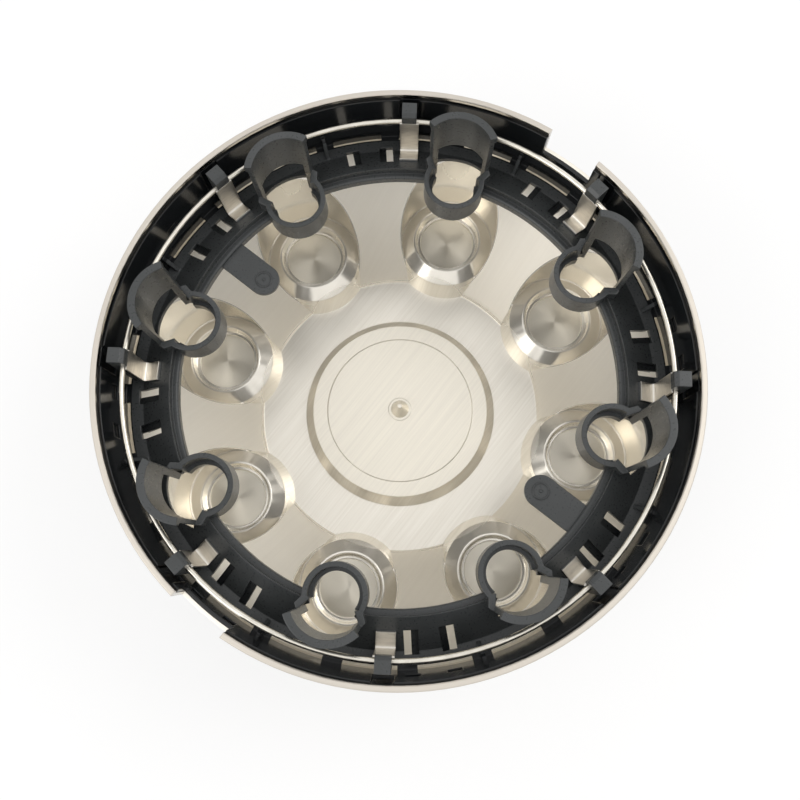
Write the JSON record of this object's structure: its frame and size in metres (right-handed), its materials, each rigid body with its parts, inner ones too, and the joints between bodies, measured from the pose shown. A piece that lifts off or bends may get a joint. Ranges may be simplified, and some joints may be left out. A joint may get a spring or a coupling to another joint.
{
  "type": "wheel center cap",
  "caption": "Deep round chrome wheel center cap with stepped lug pods, a black carrier ring with keyhole lug sockets, a wire tension ring and spring clips, shown from its open back.",
  "frame": {"origin": "centre of the cap in the plane of its flat front face", "axes": "+Z along the wheel axis from the front face to the open back, X and Y across the cap"},
  "size_m": [0.2652, 0.2652, 0.1173],
  "materials": {
    "chrome": "bright plated plastic, lightly brushed on the middle disc",
    "black_plastic": "satin moulded black",
    "wire": "plain drawn wire",
    "clip": "plain spring strip"
  },
  "bodies": {
    "root": {"chrome_cover": "chrome", "carrier_ring": "black_plastic", "wire_ring": "wire", "retaining_clip_1": "clip", "retaining_clip_2": "clip", "retaining_clip_3": "clip", "retaining_clip_4": "clip", "retaining_clip_5": "clip", "retaining_clip_6": "clip", "retaining_clip_7": "clip", "retaining_clip_8": "clip"}
  },
  "joints": []
}
